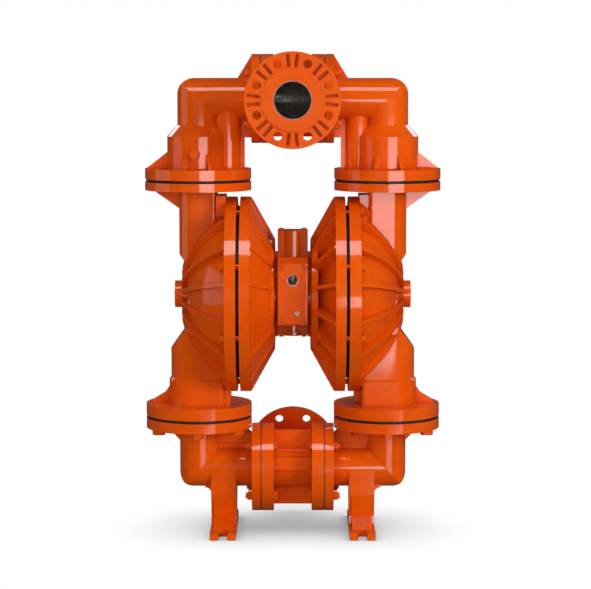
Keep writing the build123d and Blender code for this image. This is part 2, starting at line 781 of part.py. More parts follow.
# ---------------------------------------------------------------- air chamber
def air_chamber(back):
    ring_back = air_ring_back
    body = turned_x([
        (block_half_width, 0),
        (block_half_width, hub_radius),
        (band_outer_reach, hub_radius + 2),
        (ring_back + overlap, rim_opening_radius - 3),
        (ring_back + overlap, 0),
    ])
    body += rod_x(2 * ring_radius, ring_back, air_ring_face)
    body += turned_x([
        (band_inner_reach, 0),
        (band_inner_reach, band_radius - 6),
        (band_inner_reach + 3, band_radius),
        (band_outer_reach, band_radius),
        (band_outer_reach, 0),
    ])
    rib = plate_xz([
        (band_outer_reach - overlap, hub_radius),
        (ring_back + overlap, rim_opening_radius - 10),
        (ring_back + overlap, ring_radius - 1),
        (ring_back - 2, ring_radius - 1),
        (band_inner_reach + 3, band_radius),
        (band_outer_reach - overlap, band_radius - 2),
    ], air_rib_thickness)
    body += [turn * rib for turn in around_x(dome_rib_count, 180 / dome_rib_count)]
    # one half of the cone is closed almost to the ribs' height
    shell = turned_x([
        (band_outer_reach - overlap, hub_radius),
        (ring_back + overlap, rim_opening_radius - 10),
        (ring_back + overlap, ring_radius - 1 - air_rib_proud),
        (ring_back - 2, ring_radius - 1 - air_rib_proud),
        (band_inner_reach + 3 + air_rib_proud, band_radius - overlap),
    ])
    half = sorted((back * overlap, back * 2 * ring_radius))
    body += shell & block((0, clamp_plane), half, (-ring_radius, ring_radius))
    body -= turned_x([
        (air_floor_reach, 0),
        (air_floor_reach, piston_radius + 2),
        (air_floor_reach + 8, piston_radius + 10),
        (air_ring_face - 8, rim_opening_radius - 9),
        (air_ring_face, rim_opening_radius),
        (air_ring_face + overlap, rim_opening_radius),
        (air_ring_face + overlap, 0),
    ])
    start = block_half_width - overlap
    body -= rod_x(shaft_diameter + 12, start, air_floor_reach + overlap)
    body -= rod_x(pilot_diameter + 4, start, air_floor_reach + overlap, z=pilot_height)
    body -= rod_x(air_port_diameter, start, air_floor_reach + overlap, y=-air_port_offset,
                  z=-air_port_drop)
    hole = screw_hole(center_screw_diameter, center_screw_length())
    body -= [place * hole for place in center_screw_places()]
    thread = air_ring_thickness - thread_floor - overlap
    return drilled(body, ring_bolt_places(air_ring_face), ring_bolt_diameter + nut_bore_clearance,
                   thread)


def center_screw_places():
    """Flush in the floor of the air chamber, pointing to the centre block."""
    x = air_floor_reach - center_screw_diameter
    radius = center_screw_circle / 2
    angles = (center_screw_front_angle, 180 - center_screw_front_angle,
              -center_screw_rear_angle, center_screw_rear_angle - 180)
    return [Rot(angle, 0, 0) * Pos(x, 0, radius) * Rot(0, -90, 0) for angle in angles]


# ---------------------------------------------------------------- centre section
def center_block():
    width = (-block_half_width, block_half_width)
    body = block(width, (-block_front, block_back), (-block_half_height, block_half_height))
    body = chamfer(body.edges().filter_by(Axis.X), block_chamfer)
    body -= rod_x(bushing_diameter, -block_half_width - overlap, block_half_width + overlap)
    body -= rod_x(pilot_sleeve_diameter, -block_half_width - overlap,
                  block_half_width + overlap, z=pilot_height)
    for side in (-1, 1):
        x = side * block_half_width / 2
        body -= rod_y(air_port_diameter, -block_front - overlap, -air_port_offset, x=x,
                      z=-air_port_drop)
        body -= rod_x(air_port_diameter, x, side * (block_half_width + overlap),
                      y=-air_port_offset, z=-air_port_drop)
    body -= rod_y(air_duct_diameter, -block_front - overlap, block_back + overlap,
                  z=exhaust_height)
    hole = screw_hole(center_screw_diameter, center_screw_length())
    holes = [place * hole for place in center_screw_places()]
    body -= holes + [mirrored(hole) for hole in holes]
    hole = screw_hole(cover_screw_diameter, 4 * cover_screw_diameter)
    body -= [place * hole for place in exhaust_screw_places()]
    return body - long_screw_holes()


def center_screw_length():
    return air_floor_reach - block_half_width + center_screw_diameter / 2


def exhaust_screw_places():
    back = block_back + exhaust_cover_thickness - cover_screw_diameter
    x = block_half_width - cover_screw_diameter
    z = exhaust_cover_half_height - cover_screw_diameter
    return [Pos(sx * x, back, sz * z) * Rot(90, 0, 0) for sx in (-1, 1) for sz in (-1, 1)]


def valve_screw_places():
    """Cover, valve body and block are held by one set of long screws."""
    front = -cover_front + cover_screw_diameter
    x = block_half_width - cover_screw_diameter
    heights = (cover_screw_diameter - cover_bottom, cover_top - cover_chamfer - cover_screw_diameter)
    return [Pos(sx * x, front, z) * Rot(-90, 0, 0) for sx in (-1, 1) for z in heights]


def valve_screw_length():
    return cover_front - block_front + 0.2 * cover_screw_diameter


def long_screw_holes():
    hole = screw_hole(cover_screw_diameter, valve_screw_length())
    return [place * hole for place in valve_screw_places()]


def air_valve_body():
    face = block_front + gasket_thickness
    width = (-block_half_width, block_half_width)
    body = block(width, (-(air_valve_front - air_valve_shoulder), -face),
                 (-air_valve_bottom, air_valve_top))
    body = fillet(body.edges().filter_by(Axis.Y).group_by(Axis.Z)[-1], 4)
    body += block(width, (-air_valve_front, -face), (-cover_bottom, cover_top))
    body += rod_z(2 * ridge_radius, cover_top - overlap, air_valve_top, y=-spool_offset)
    body -= rod_z(sleeve_diameter, -air_valve_bottom - overlap, air_valve_top + overlap,
                  y=-spool_offset)
    middle = -spool_offset
    body -= rod_y(air_duct_diameter, -air_valve_front - overlap, middle, z=air_inlet_height)
    body -= rod_y(air_duct_diameter, middle, -face + overlap, z=exhaust_height)
    for side in (-1, 1):
        body -= rod_y(air_port_diameter, middle, -face + overlap,
                      x=side * block_half_width / 2, z=-air_port_drop)
    hole = rod_z(cover_screw_diameter + nut_bore_clearance, 0, valve_screw_length())
    body -= [place * hole for place in valve_screw_places()]
    cap_hole = rod_z(cap_screw_diameter + nut_bore_clearance, -cap_screw_length, 0)
    for place in cap_screw_places():
        body -= place * cap_hole
    return body


def cap_screw_places():
    """At the top and bottom caps of the spool bore, shanks pointing inwards along -Z."""
    x = block_half_width - cap_screw_inset
    places = []
    for side in (-1, 1):
        places.append(Pos(side * x, -spool_offset, air_valve_top))
        places.append(Pos(side * x, -spool_offset, -air_valve_bottom) * Rot(180, 0, 0))
    return places


def valve_cap():
    """Cap over the spool bore, resting on z = 0."""
    depth = air_valve_front - air_valve_shoulder - block_front - gasket_thickness
    middle = -(air_valve_front - air_valve_shoulder + block_front + gasket_thickness) / 2
    cap = Pos(0, middle, valve_cap_thickness / 2) * Box(
        2 * block_half_width, depth, valve_cap_thickness)
    cap += rod_z(2 * ridge_radius, 0, valve_cap_thickness, y=-spool_offset)
    cap = chamfer(cap.faces().sort_by(Axis.Z)[-1].edges(), 1.5)
    cap_hole = cap_screw_diameter + 4 * nut_bore_clearance
    for side in (-1, 1):
        cap -= rod_z(cap_hole, -overlap, valve_cap_thickness + overlap,
                     x=side * (block_half_width - cap_screw_inset), y=-spool_offset)
    return cap


def inlet_cover():
    face = air_valve_front + gasket_thickness
    outline = [
        (-face, -cover_bottom),
        (-cover_front + 4, -cover_bottom),
        (-cover_front, -cover_bottom + 4),
        (-cover_front, cover_top - cover_chamfer),
        (-face, cover_top),
    ]
    body = plate_yz(outline, 2 * block_half_width)
    body = fillet(body.edges().filter_by(Axis.Z), 3)
    body -= rod_y(air_inlet_thread_diameter, -cover_front - overlap,
                  -cover_front + air_inlet_depth, z=air_inlet_height)
    body -= rod_y(air_duct_diameter, -cover_front, -face + overlap, z=air_inlet_height)
    return body - long_screw_holes()


def gasket(front, bottom, top, duct_heights):
    width = (-block_half_width, block_half_width)
    sheet = block(width, (-front - gasket_thickness, -front), (bottom, top))
    for z in duct_heights:
        sheet -= rod_y(air_duct_diameter + 2, -front - gasket_thickness - overlap,
                       -front + overlap, z=z)
    return sheet - long_screw_holes()


def exhaust_cover():
    half = exhaust_cover_half_height
    back = block_back + exhaust_cover_thickness
    body = block((-block_half_width, block_half_width), (block_back, back), (-half, half))
    body = chamfer(body.faces().sort_by(Axis.Y)[-1].edges(), 4)
    body -= rod_y(exhaust_thread_diameter, block_back + 4, back + overlap, z=exhaust_port_height)
    body -= rod_y(air_duct_diameter, block_back - overlap, back, z=exhaust_port_height)
    channel = block((-air_duct_diameter / 2, air_duct_diameter / 2),
                    (block_back - overlap, block_back + 10), (exhaust_height, exhaust_port_height))
    body -= channel
    hole = screw_hole(cover_screw_diameter, exhaust_cover_thickness)
    return body - [place * hole for place in exhaust_screw_places()]


# ---------------------------------------------------------------- moving pieces
def spool(length, diameter, groove_diameter, lands):
    """Spool along +Z from the origin with grooves between its lands."""
    body = rod_z(diameter, 0, length)
    pitch = length / lands
    for i in range(lands - 1):
        middle = pitch * (i + 1)
        groove = rod_z(diameter + overlap, middle - pitch / 4, middle + pitch / 4)
        body -= groove - rod_z(groove_diameter, middle - pitch / 4, middle + pitch / 4)
    return chamfer(body.faces().sort_by(Axis.Z)[-1].edges(), 1)


def seat(top):
    """Ring that carries the ball on a cone tangent to it."""
    slope = math.tan(contact_angle)
    contact = seat_contact_diameter / 2
    bottom = top - seat_recess_depth - joint_gap
    half = seat_cone_height / 2
    low = contact - half / slope
    high = contact + half / slope
    ring = turned_z([
        (low, bottom),
        (seat_diameter / 2, bottom),
        (seat_diameter / 2, top),
        (high, top),
        (low, top - seat_cone_height),
    ])
    return Pos(column_offset, 0, 0) * (ring - seat_ring(top, seat_clearance))


def seat_ring(top, growth=0.0):
    """Square O-ring in a groove at the bottom of a seat."""
    bottom = top - seat_recess_depth - joint_gap
    middle = seat_ring_diameter / 2
    half = seat_ring_width / 2 + growth
    ring_top = bottom + seat_ring_width + growth
    bottom += seating_gap if growth == 0 else -overlap
    return turned_z([
        (middle - half, bottom),
        (middle + half, bottom),
        (middle + half, ring_top),
        (middle - half, ring_top),
    ])


def ball(seat_top):
    return Pos(column_offset, 0, seat_top + ball_center_height) * Sphere(ball_radius)


def diaphragm():
    """Flat disc with one rounded fold, its edge held between the rings."""
    inner = piston_radius + 4
    outer = rim_opening_radius - 4
    middle = (inner + outer) / 2
    half = diaphragm_thickness / 2
    faces = []
    for x in (clamp_plane - half, clamp_plane + half):
        faces.append(ThreePointArc((x, inner), (x + diaphragm_fold, middle), (x, outer)))
    ends = Line((clamp_plane - half, inner), (clamp_plane + half, inner))
    ends += Line((clamp_plane - half, outer), (clamp_plane + half, outer))
    body = revolve(Plane.XZ * make_face(faces[0] + faces[1] + ends), Axis.X)
    body += rod_x(2 * inner + 0.2, clamp_plane - half, clamp_plane + half)
    edge = rod_x(2 * rim_opening_radius + overlap, clamp_plane - half, clamp_plane + half)
    edge += rod_x(2 * diaphragm_edge_radius, air_ring_face, liquid_ring_face)
    edge -= rod_x(2 * rim_opening_radius, air_ring_face - overlap, clamp_plane - half)
    edge -= rod_x(2 * rim_opening_radius, clamp_plane + half, liquid_ring_face + overlap)
    edge -= rod_x(2 * outer - 0.2, air_ring_face, liquid_ring_face)
    return body + edge - rod_x(shaft_diameter, 0, 2 * clamp_plane)


def inner_piston():
    back = diaphragm_inner_face
    front = back - inner_piston_thickness
    return turned_x([
        (front, shaft_diameter / 2),
        (front, piston_radius - 8),
        (front + 3, piston_radius - 2),
        (back - 3, piston_radius),
        (back, piston_radius - 3),
        (back, shaft_diameter / 2),
    ])


def outer_piston():
    back = diaphragm_outer_face
    crown = back + outer_piston_thickness + piston_crown
    dish = turned_x([
        (back, 0),
        (back, piston_radius - 3),
        (back + 3, piston_radius),
        (back + 7, piston_radius - 1),
        (back + outer_piston_thickness, 2 * piston_hub_radius),
        (crown - 4, piston_hub_radius + 6),
        (crown, piston_hub_radius),
        (crown, 0),
    ])
    return dish - rod_x(shaft_diameter, back - overlap, shaft_half_length)


def bushing():
    start = seal_length + 2
    body = rod_x(bushing_diameter, start, start + bushing_length)
    return body - rod_x(shaft_diameter + 2 * shaft_running_clearance, 0, start + 2 * bushing_length)


def shaft_seal():
    body = rod_x(bushing_diameter, 2, 2 + seal_length)
    return body - rod_x(shaft_diameter + 2 * shaft_running_clearance, 0, 2 * seal_length)


def gauge_plug():
    x = -column_offset - gauge_offset
    thread = gauge_tap_depth / 3
    body = rod_y(gauge_tap_diameter - nut_bore_clearance, -gauge_boss_reach,
                 -gauge_boss_reach + thread, x=x, z=gauge_height)
    head = extrude(RegularPolygon(gauge_plug_flats / 2, 6, major_radius=False),
                   gauge_plug_height)
    return body + Pos(x, -gauge_boss_reach, gauge_height) * Rot(90, 0, 0) * head


# ---------------------------------------------------------------- assembly
def both_sides(solids):
    return group(solids + [mirrored(solid) for solid in solids])


def bolts(places, diameter, length):
    bolt = hex_bolt(diameter, length)
    return [place * bolt for place in places]


def nuts(places, diameter, grip):
    nut = hex_nut(diameter, grip)
    return [place * nut for place in places]


def moved(places, z):
    return [Pos(0, 0, z) * place for place in places]


def build():
    parts = {}

    def pair(name, part):
        parts[name + "_right"] = part
        parts[name + "_left"] = mirrored(part)

    def castings(name, make):
        parts[name + "_right"] = make(1)
        parts[name + "_left"] = mirrored(make(-1))

    tee_body = tee()
    parts["discharge_tee"] = Pos(0, 0, discharge_rise) * tee_body
    parts["inlet_tee"] = Pos(0, 0, -inlet_drop) * Rot(180, 0, 0) * tee_body
    castings("discharge_elbow", discharge_elbow)
    parts["discharge_elbow_left"] = gauge_tapped(parts["discharge_elbow_left"])
    parts["gauge_plug"] = gauge_plug()
    pair("inlet_elbow", inlet_elbow())
    castings("liquid_chamber", liquid_chamber)
    castings("air_chamber", air_chamber)
    pair("discharge_seat", seat(upper_seat_top))
    pair("inlet_seat", seat(lower_seat_top))
    pair("discharge_ball", ball(upper_seat_top))
    pair("inlet_ball", ball(lower_seat_top))
    at_column = Pos(column_offset, 0, 0)
    rings = [at_column * seat_ring(top) for top in (upper_seat_top, lower_seat_top)]
    parts["seat_o_rings"] = both_sides(rings)

    ring = rod_x(tee_flange_diameter - 2 * overlap, tee_half_length + seating_gap,
                 elbow_start - seating_gap)
    ring -= rod_x(pipe_bore, tee_half_length - overlap, elbow_start + overlap)
    ring = drilled(ring, tee_bolt_places(tee_half_length), tee_bolt_diameter + hole_clearance,
                   gasket_thickness)
    rings = [Pos(0, 0, z) * ring for z in (discharge_rise, -inlet_drop)]
    parts["tee_gaskets"] = both_sides(rings)

    # fasteners of the manifold joints
    tee_grip = tee_flange_thickness + gasket_thickness + elbow_end_flange_thickness
    tee_bolt_length = tee_grip + tee_bolt_diameter * nut_height_ratio + thread_end
    tee_places = tee_bolt_places(tee_half_length - tee_flange_thickness)
    for name, z in (("discharge", discharge_rise), ("inlet", -inlet_drop)):
        places = moved(tee_places, z)
        parts[name + "_tee_bolts"] = both_sides(bolts(places, tee_bolt_diameter, tee_bolt_length))
        parts[name + "_tee_nuts"] = both_sides(nuts(places, tee_bolt_diameter, tee_grip))
    length = elbow_flange_thickness - column_screw_diameter + joint_gap + upper_flange_thickness
    screw = socket_screw(column_screw_diameter, length)
    parts["discharge_column_bolts"] = both_sides(
        [place * screw for place in column_screw_places()])
    length = elbow_flange_thickness + joint_gap + lower_flange_thickness - 2 * thread_floor
    places = column_bolt_places(lower_elbow_face - elbow_flange_thickness)
    parts["inlet_column_bolts"] = both_sides(bolts(places, column_bolt_diameter, length))
    length = liquid_ring_thickness + ring_gap + air_ring_thickness - 2 * thread_floor
    places = ring_bolt_places(liquid_ring_back)
    pair("ring_bolts", group(bolts(places, ring_bolt_diameter, length)))
    screw = socket_screw(center_screw_diameter, center_screw_length())
    parts["center_screws"] = both_sides([place * screw for place in center_screw_places()])

    # centre section
    parts["center_block"] = center_block()
    parts["air_valve_body"] = air_valve_body()
    parts["valve_gasket"] = gasket(block_front, -air_valve_bottom, block_half_height,
                                   (exhaust_height,))
    parts["inlet_cover"] = inlet_cover()
    parts["cover_gasket"] = gasket(air_valve_front, -cover_bottom, cover_top, (air_inlet_height,))
    parts["exhaust_cover"] = exhaust_cover()
    cap = valve_cap()
    parts["upper_valve_cap"] = Pos(0, 0, air_valve_top) * cap
    parts["lower_valve_cap"] = Pos(0, 0, -air_valve_bottom) * mirror(cap, about=Plane.XY)
    cap_screw = Rot(180, 0, 0) * hex_bolt(cap_screw_diameter, cap_screw_length)
    cap_screw = Pos(0, 0, valve_cap_thickness) * cap_screw
    parts["cap_screws"] = group([place * cap_screw for place in cap_screw_places()])
    long_screw = socket_screw(cover_screw_diameter, valve_screw_length())
    parts["cover_screws"] = group([place * long_screw for place in valve_screw_places()])
    short_screw = socket_screw(cover_screw_diameter, 3 * cover_screw_diameter)
    parts["exhaust_screws"] = group([place * short_screw for place in exhaust_screw_places()])
    sleeve = rod_z(sleeve_diameter, -air_valve_bottom, air_valve_top, y=-spool_offset)
    sleeve -= rod_z(spool_diameter + 2 * spool_clearance, -air_valve_bottom - overlap,
                    air_valve_top + overlap, y=-spool_offset)
    parts["spool_sleeve"] = sleeve
    pilot_sleeve = rod_x(pilot_sleeve_diameter, -block_half_width, block_half_width,
                         z=pilot_height)
    pilot_sleeve -= rod_x(pilot_diameter + 2 * spool_clearance, -2 * block_half_width,
                          2 * block_half_width, z=pilot_height)
    parts["pilot_sleeve"] = pilot_sleeve
    parts["shaft_bushings"] = both_sides([bushing()])
    parts["shaft_seals"] = both_sides([shaft_seal()])

    # moving pieces
    pair("diaphragm", diaphragm())
    pair("inner_piston", inner_piston())
    pair("outer_piston", outer_piston())
    parts["diaphragm_shaft"] = rod_x(shaft_diameter, -shaft_half_length, shaft_half_length)
    spool_length = air_valve_bottom + air_valve_top - spool_travel - 2 * pilot_contact_gap
    parts["main_spool"] = Pos(0, -spool_offset, -air_valve_bottom + pilot_contact_gap) * spool(
        spool_length, spool_diameter, spool_groove_diameter, 4)
    pilot = spool(2 * pilot_half_length, pilot_diameter, pilot_groove_diameter, 5)
    parts["pilot_spool"] = Pos(-pilot_half_length, 0, pilot_height) * Rot(0, 90, 0) * pilot
    return parts


os.makedirs("parts", exist_ok=True)
for node, part in build().items():
    export_step(Pos(0, 0, shaft_height) * part, "parts/" + node + ".step")
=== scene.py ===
import json
import math

import bmesh
import bpy
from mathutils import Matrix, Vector


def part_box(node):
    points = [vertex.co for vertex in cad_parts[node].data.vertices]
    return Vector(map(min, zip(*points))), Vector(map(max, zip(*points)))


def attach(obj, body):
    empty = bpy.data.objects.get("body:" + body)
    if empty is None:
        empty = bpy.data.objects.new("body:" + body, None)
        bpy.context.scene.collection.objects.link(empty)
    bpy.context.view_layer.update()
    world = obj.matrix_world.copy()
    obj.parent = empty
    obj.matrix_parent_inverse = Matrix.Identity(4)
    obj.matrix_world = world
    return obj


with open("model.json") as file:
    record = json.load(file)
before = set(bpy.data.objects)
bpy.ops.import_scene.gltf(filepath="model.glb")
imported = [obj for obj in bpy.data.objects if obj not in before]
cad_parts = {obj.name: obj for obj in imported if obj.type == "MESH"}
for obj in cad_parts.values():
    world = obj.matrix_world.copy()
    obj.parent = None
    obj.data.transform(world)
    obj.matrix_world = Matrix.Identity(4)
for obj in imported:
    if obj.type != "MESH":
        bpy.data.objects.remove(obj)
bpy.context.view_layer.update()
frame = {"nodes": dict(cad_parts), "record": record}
nodes = frame["nodes"]
mounts = {mount["name"]: mount for mount in frame["record"]["mounts"]}
scene = bpy.context.scene
scene.view_settings.view_transform = "Standard"

# ---------------------------------------------------------------- camera
# fitted to both port flanges, the column flanges and the clamp rings in the photograph
CAMERA_PLACE = (0.0059, -4.780, 1.0161)
CAMERA_TILT = 83.984            # degrees from straight down
LENS = 135.57                   # mm, for a sensor as wide as the next value
SENSOR_WIDTH = 36.0
FAR_CLIP = 60.0

camera_data = bpy.data.cameras.new("camera")
camera_data.lens = LENS
camera_data.sensor_width = SENSOR_WIDTH
camera_data.clip_end = FAR_CLIP
camera = bpy.data.objects.new("camera", camera_data)
camera.location = CAMERA_PLACE
camera.rotation_euler = (math.radians(CAMERA_TILT), 0.0, 0.0)
scene.collection.objects.link(camera)
scene.camera = camera


# ---------------------------------------------------------------- helpers for node trees
class Tree:
    """A material's or world's node tree, built by short calls.

    Inputs take a number, a colour, a vector or another node's output.
    """

    def __init__(self, tree):
        self.tree = tree
        self.tree.nodes.clear()

    def add(self, kind, inputs=(), **settings):
        node = self.tree.nodes.new(kind)
        for name, value in settings.items():
            setattr(node, name, value)
        for key, value in dict(inputs).items():
            self.feed(node.inputs[key], value)
        return node

    def feed(self, socket, value):
        if isinstance(value, bpy.types.NodeSocket):
            self.tree.links.new(value, socket)
        else:
            socket.default_value = value

    def math(self, operation, *values):
        node = self.add("ShaderNodeMath", operation=operation)
        for socket, value in zip(node.inputs, values):
            self.feed(socket, value)
        return node.outputs[0]

    def vector(self, operation, *values):
        node = self.add("ShaderNodeVectorMath", operation=operation)
        for socket, value in zip(node.inputs, values):
            self.feed(socket, value)
        return node.outputs["Value" if operation == "DOT_PRODUCT" else "Vector"]

    def ramp(self, factor, low, high, bottom=0.0, top=1.0):
        """Goes from bottom to top while factor goes from low to high, and stays there."""
        return self.add(
            "ShaderNodeMapRange",
            {"Value": factor, "From Min": low, "From Max": high, "To Min": bottom, "To Max": top},
        ).outputs["Result"]

    def mix(self, factor, first, second):
        """Blends two colours; the node's sockets 6 and 7 take them."""
        node = self.add("ShaderNodeMix", {0: factor, 6: first, 7: second}, data_type="RGBA")
        return node.outputs[2]

    def blend_values(self, factor, first, second):
        """Blends two numbers; the node's sockets 2 and 3 take them."""
        node = self.add("ShaderNodeMix", {0: factor, 2: first, 3: second}, data_type="FLOAT")
        return node.outputs[0]

    def noise(self, place, scale, detail, roughness=0.55):
        inputs = {"Vector": place, "Scale": scale, "Detail": detail, "Roughness": roughness}
        return self.add("ShaderNodeTexNoise", inputs).outputs["Fac"]

    def bump(self, height, distance, strength, normal=None):
        inputs = {"Height": height, "Distance": distance, "Strength": strength}
        if normal is not None:
            inputs["Normal"] = normal
        return self.add("ShaderNodeBump", inputs).outputs["Normal"]


def new_material(name):
    """A material, its tree, and the point's place on the object, which is in metres."""
    material = bpy.data.materials.new(name)
    material.use_nodes = True
    tree = Tree(material.node_tree)
    place = tree.add("ShaderNodeTexCoord").outputs["Object"]
    return material, tree, place


def close_material(tree, **inputs):
    """Adds the surface; its inputs are written with _ for each space."""
    names = {key.replace("_", " "): value for key, value in inputs.items()}
    shader = tree.add("ShaderNodeBsdfPrincipled", names)
    tree.add("ShaderNodeOutputMaterial", {"Surface": shader.outputs[0]})


def colour(red, green, blue):
    return (red, green, blue, 1.0)


# ---------------------------------------------------------------- materials
BORE_RADIUS = 0.038
BORE_RIM = 0.0016               # bare edge of the machined bore on the port's face
PARTING_HEIGHT = 0.0003         # the mould's joint line, in the plane y = 0
PARTING_CORE = 0.0004           # half widths of its crest and its foot
PARTING_FOOT = 0.0012
PAINTED_SHADE_REACH = 0.035           # how far the painted shade in a corner or pocket reaches

ENAMEL = colour(0.80, 0.088, 0.0015)
# the next colour is a darker tone at random, and also the painted shade in corners and pockets
ENAMEL_DARK_TONE_AND_SHADE = colour(0.56, 0.047, 0.0010)
ENAMEL_WARM = colour(0.84, 0.108, 0.0030)
# the next colour is painted shade, mixed into the enamel of the aluminium pieces and the air valve
ENAMEL_SHADE = colour(0.30, 0.036, 0.0030)
BARE_DARK = colour(0.22, 0.170, 0.150)
BARE_PALE = colour(0.52, 0.46, 0.42)
BARE_METALLIC = 0.55
# shares of the painted shade on the aluminium pieces and on the air valve
CENTRE_SHADE = 0.15             # share of ENAMEL_SHADE on the aluminium pieces
VALVE_SHADE = 0.75

# noise scales, in cells per metre
CLOUD_SCALE = 6.0
STAIN_SCALE = 38.0
MOTTLE_SCALE = 55.0
PEEL_SCALE = 95.0
SPECKLE_SCALE = 380.0
SKIN_SCALE = 420.0
TOOL_MARK_SCALE = 700.0
BORE_MARK_SCALE = 900.0
BLOOM_SCALE = 30.0
GRAIN_SCALE = 1500.0

# bump depths, in metres
SKIN_DEPTH = 0.00010
PEEL_DEPTH = 0.0006
BORE_MARK_DEPTH = 0.00025
TOOL_MARK_DEPTH = 0.00004
GRAIN_DEPTH = 0.00005


def tee_bores(centre_z, radius, port_side):
    """Marks a tee's machined bores: along X, and along Y on the port's side, 1 or -1."""
    def mask(tree, axes):
        x, y, z = axes
        height = tree.math("SUBTRACT", z, centre_z)
        squares = [tree.math("MULTIPLY", value, value) for value in (x, y, height)]
        limit = (radius + BORE_RIM) ** 2
        in_run = tree.math("LESS_THAN", tree.math("ADD", squares[1], squares[2]), limit)
        in_port = tree.math("LESS_THAN", tree.math("ADD", squares[0], squares[2]), limit)
        open_side = tree.math("GREATER_THAN", tree.math("MULTIPLY", y, port_side), 0.0)
        return tree.math("MAXIMUM", in_run, tree.math("MULTIPLY", in_port, open_side))
    return mask


def above(height):
    """Marks what lies above a height."""
    def mask(tree, axes):
        return tree.math("GREATER_THAN", axes[2], height)
    return mask


def enamel(name, rounding=0.0012, cast=1.0, bare=None, shade=0.0, parting=0.0):
    """Glossy orange enamel over a casting, with the casting's skin, orange peel and edges.

    What bare marks is unpainted metal. The share shade mixes painted shade into the colour, and
    parting is the height of the mould's joint line. Corners and pockets also get painted shade.
    """
    material, tree, place = new_material(name)
    axes = tree.add("ShaderNodeSeparateXYZ", {"Vector": place}).outputs
    cloud = tree.noise(place, CLOUD_SCALE, 2.0)
    mottle = tree.noise(place, MOTTLE_SCALE, 4.0)
    rounded = tree.add("ShaderNodeBevel", {"Radius": rounding}, samples=4).outputs[0]
    facing = tree.add("ShaderNodeNewGeometry").outputs["Normal"]
    edge = tree.ramp(tree.vector("DOT_PRODUCT", rounded, facing), 0.995, 0.80)
    # painted shade: the enamel turns darker in corners and pockets, where less light reaches, from
    # ambient occlusion
    occlusion = tree.add("ShaderNodeAmbientOcclusion", {"Distance": PAINTED_SHADE_REACH}, samples=4)
    painted_corner_shade = tree.ramp(occlusion.outputs["AO"], 0.70, 0.15, 0.0, 0.75)

    base = tree.mix(tree.ramp(cloud, 0.35, 0.65), ENAMEL, ENAMEL_WARM)
    base = tree.mix(tree.ramp(mottle, 0.45, 0.80, 0.0, 0.30), base, ENAMEL_DARK_TONE_AND_SHADE)
    base = tree.mix(painted_corner_shade, base, ENAMEL_DARK_TONE_AND_SHADE)
    base = tree.mix(tree.math("MULTIPLY", edge, 0.25), base, ENAMEL_WARM)
    # painted shade: the colour is pulled towards ENAMEL_SHADE by the share given
    if shade:
        base = tree.mix(shade, base, ENAMEL_SHADE)

    skin = tree.noise(place, SKIN_SCALE, 3.0, 0.6)
    peel = tree.noise(place, PEEL_SCALE, 2.0, 0.4)
    normal = tree.bump(skin, SKIN_DEPTH * cast, 0.35, rounded)
    normal = tree.bump(peel, PEEL_DEPTH * cast, 0.16, normal)
    if parting:
        off_line = tree.math("ABSOLUTE", axes[1])
        line = tree.ramp(off_line, PARTING_CORE, PARTING_FOOT, 1.0, 0.0)
        normal = tree.bump(line, parting, 0.8, normal)

    gloss = tree.ramp(mottle, 0.3, 0.7, 0.26, 0.34)
    metal = 0.0
    if bare:
        inside = bare(tree, axes)
        along = tree.add("ShaderNodeCombineXYZ", {0: axes[1], 1: axes[0]}).outputs[0]
        marks = tree.noise(along, BORE_MARK_SCALE, 2.0)
        speckle = tree.noise(place, SPECKLE_SCALE, 4.0, 0.7)
        machined = tree.mix(tree.ramp(speckle, 0.42, 0.68), BARE_DARK, BARE_PALE)
        base = tree.mix(inside, base, machined)
        gloss = tree.blend_values(inside, gloss, tree.ramp(marks, 0.3, 0.7, 0.32, 0.50))
        metal = tree.math("MULTIPLY", inside, BARE_METALLIC)
        marks_inside = tree.math("MULTIPLY", marks, inside)
        normal = tree.bump(marks_inside, BORE_MARK_DEPTH, 0.6, normal)
    close_material(
        tree, Base_Color=base, Metallic=metal, Roughness=gloss, Normal=normal,
        Specular_IOR_Level=0.03, Coat_Weight=0.80, Coat_Roughness=0.07,
    )
    return material


def steel(name, tint, low, high, stretch=(1.0, 1.0, 1.0)):
    """Turned, ground or cast metal, as rough as low to high.

    stretch makes the tool marks finer along an axis.
    """
    material, tree, place = new_material(name)
    marks = tree.noise(tree.vector("MULTIPLY", place, stretch), TOOL_MARK_SCALE, 4.0, 0.6)
    stain = tree.noise(place, STAIN_SCALE, 4.0, 0.6)
    dark = colour(*[0.55 * value for value in tint[:3]])
    rounded = tree.add("ShaderNodeBevel", {"Radius": 0.0005}, samples=3).outputs[0]
    close_material(
        tree,
        Base_Color=tree.mix(tree.ramp(stain, 0.40, 0.75), tint, dark),
        Metallic=1.0,
        Normal=tree.bump(marks, TOOL_MARK_DEPTH, 0.5, rounded),
        Roughness=tree.ramp(marks, 0.3, 0.7, low, high),
    )
    return material


def rubber(name, tint, roughness):
    """Moulded rubber with a pale bloom in patches and a fine grain."""
    material, tree, place = new_material(name)
    bloom = tree.noise(place, BLOOM_SCALE, 4.0)
    grain = tree.noise(place, GRAIN_SCALE, 2.0)
    pale = colour(*[2.2 * value for value in tint[:3]])
    close_material(
        tree,
        Base_Color=tree.mix(tree.ramp(bloom, 0.45, 0.80, 0.0, 0.6), tint, pale),
        Roughness=tree.ramp(grain, 0.3, 0.7, roughness - 0.1, roughness + 0.1),
        Normal=tree.bump(grain, GRAIN_DEPTH, 0.5),
    )
    return material


